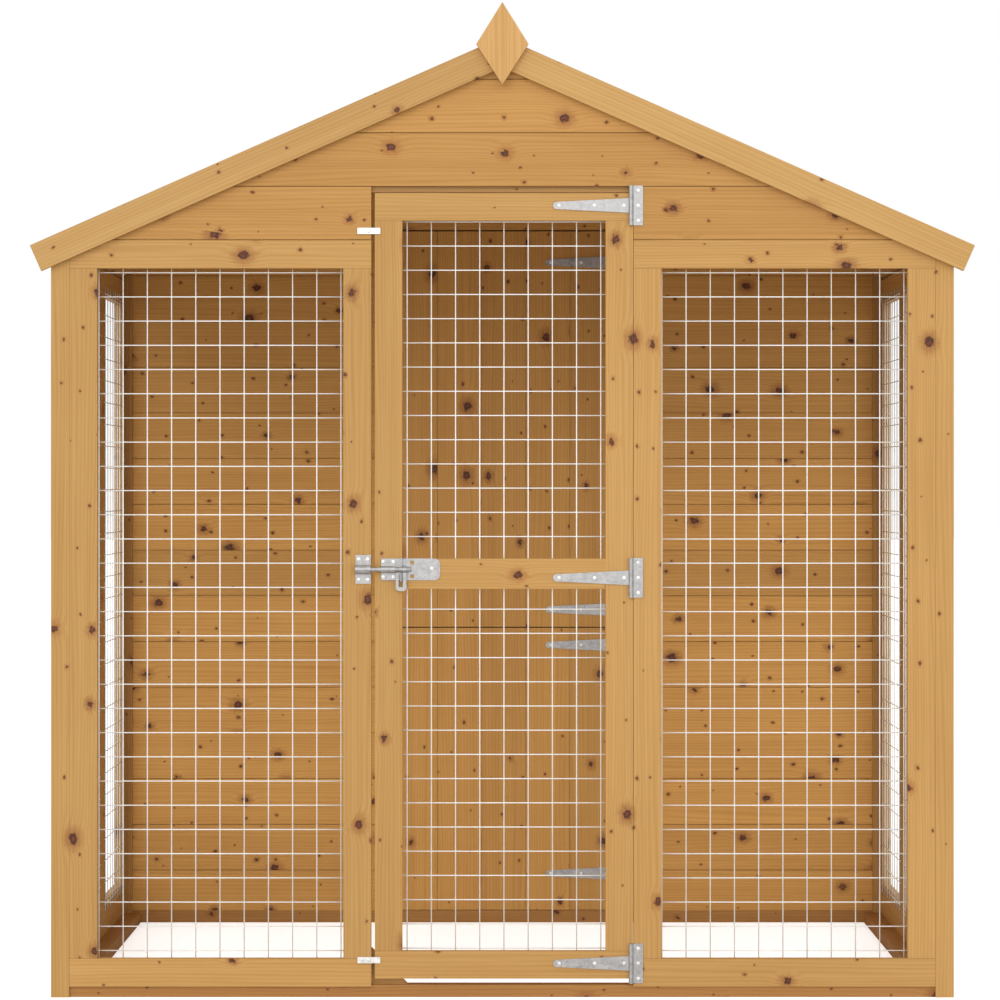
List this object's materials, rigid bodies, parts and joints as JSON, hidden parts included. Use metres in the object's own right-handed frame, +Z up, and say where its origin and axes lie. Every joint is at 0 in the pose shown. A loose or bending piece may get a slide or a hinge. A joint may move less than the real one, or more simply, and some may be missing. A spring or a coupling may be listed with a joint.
{
  "type": "dog kennel and run",
  "caption": "Timber dog kennel with a stable door behind a weld-mesh run, under one apex roof with a mesh front door",
  "frame": {"origin": "middle of the footprint's bounding box, on the ground", "axes": "+Z up; the run's mesh door and front gable face -Y; +X to the right seen from the front"},
  "size_m": [1.943, 2.484, 2.0467],
  "materials": {
    "frame_timber": "planed untreated softwood, satin",
    "cladding": "planed softwood boards with dark knots",
    "inner_timber": "sawn softwood framing",
    "base_timber": "pressure-treated bearers",
    "weld_mesh": "galvanised wire",
    "galvanised": "galvanised pressed steel",
    "zinc_fittings": "bright zinc plate",
    "felt": "mineral roofing felt"
  },
  "bodies": {
    "shell": {"front_corner_posts": "frame_timber", "front_panel_rails": "frame_timber", "front_panel_stiles": "frame_timber", "door_posts": "frame_timber", "side_panel_rails": "frame_timber", "side_panel_stiles": "frame_timber", "corner_block": "frame_timber", "kennel_corner_strips": "frame_timber", "barge_boards": "frame_timber", "finial": "frame_timber", "gable_cladding": "cladding", "kennel_front_cladding": "cladding", "kennel_side_cladding": "cladding", "kennel_rear_cladding": "cladding", "gable_framing": "inner_timber", "doorway_headers": "inner_timber", "kennel_wall_plates": "inner_timber", "kennel_wall_studs": "inner_timber", "kennel_floorboards": "inner_timber", "roof_beams": "inner_timber", "roof_boards": "inner_timber", "run_front_bearer": "base_timber", "run_side_bearers": "base_timber", "kennel_floor_bearers": "base_timber", "front_mesh_left": "weld_mesh", "front_mesh_right": "weld_mesh", "side_mesh_left_front": "weld_mesh", "side_mesh_left_rear": "weld_mesh", "side_mesh_right_front": "weld_mesh", "side_mesh_right_rear": "weld_mesh", "hinge_plates": "galvanised", "hinge_pins": "galvanised", "bolt_keeper": "galvanised", "frame_screws": "zinc_fittings", "turn_button_screws": "zinc_fittings", "roof_felt": "felt", "felt_ridge_cap": "felt"},
    "front_door": {"front_door_stiles": "frame_timber", "front_door_rails": "frame_timber", "front_door_mesh": "weld_mesh", "front_door_straps": "galvanised", "front_door_screws": "zinc_fittings", "bolt_plate": "galvanised", "bolt_staple": "galvanised", "bolt_guide": "galvanised"},
    "upper_leaf": {"upper_leaf_boards": "cladding", "upper_leaf_ledges": "inner_timber", "upper_leaf_straps": "galvanised", "upper_leaf_screws": "zinc_fittings"},
    "lower_leaf": {"lower_leaf_boards": "cladding", "lower_leaf_ledges": "inner_timber", "lower_leaf_straps": "galvanised", "lower_leaf_screws": "zinc_fittings"},
    "bolt_rod": {"bolt_rod": "galvanised"},
    "bolt_handle": {"bolt_handle": "galvanised"},
    "front_button_bottom": {"front_button_bottom": "zinc_fittings"},
    "front_button_top": {"front_button_top": "zinc_fittings"},
    "lower_leaf_button": {"lower_leaf_button": "zinc_fittings"},
    "upper_leaf_button": {"upper_leaf_button": "zinc_fittings"}
  },
  "joints": [
    {"name": "front_door_swing", "type": "hinge", "parent": "shell", "child": "front_door", "pos_m": [0.2648, -1.217, 0.85], "axis": [0, 0, 1], "range_deg": [0, 165]},
    {"name": "upper_leaf_swing", "type": "hinge", "parent": "shell", "child": "upper_leaf", "pos_m": [0.2648, 0.002, 1.19], "axis": [0, 0, 1], "range_deg": [0, 130]},
    {"name": "lower_leaf_swing", "type": "hinge", "parent": "shell", "child": "lower_leaf", "pos_m": [0.2648, 0.002, 0.37], "axis": [0, 0, 1], "range_deg": [0, 165]},
    {"name": "bolt_slide", "type": "slide", "parent": "front_door", "child": "bolt_rod", "axis": [1, 0, 0], "range_m": [0, 0.0194]},
    {"name": "bolt_turn", "type": "hinge", "parent": "bolt_rod", "child": "bolt_handle", "pos_m": [-0.2, -1.2213, 0.882], "axis": [-1, 0, 0], "range_deg": [0, 165]},
    {"name": "front_button_bottom_turn", "type": "hinge", "parent": "shell", "child": "front_button_bottom", "pos_m": [-0.275, -1.2138, 0.0773], "axis": [0, -1, 0], "continuous": true},
    {"name": "front_button_top_turn", "type": "hinge", "parent": "shell", "child": "front_button_top", "pos_m": [-0.275, -1.2138, 1.579], "axis": [0, -1, 0], "continuous": true},
    {"name": "lower_leaf_button_turn", "type": "hinge", "parent": "shell", "child": "lower_leaf_button", "pos_m": [-0.275, 0.0052, 0.375], "axis": [0, -1, 0], "continuous": true},
    {"name": "upper_leaf_button_turn", "type": "hinge", "parent": "shell", "child": "upper_leaf_button", "pos_m": [-0.275, 0.0052, 1.185], "axis": [0, -1, 0], "continuous": true}
  ],
  "couplings": [
    {"joint": "bolt_slide", "follows": "bolt_turn", "m_per_rad": 0.0067}
  ]
}
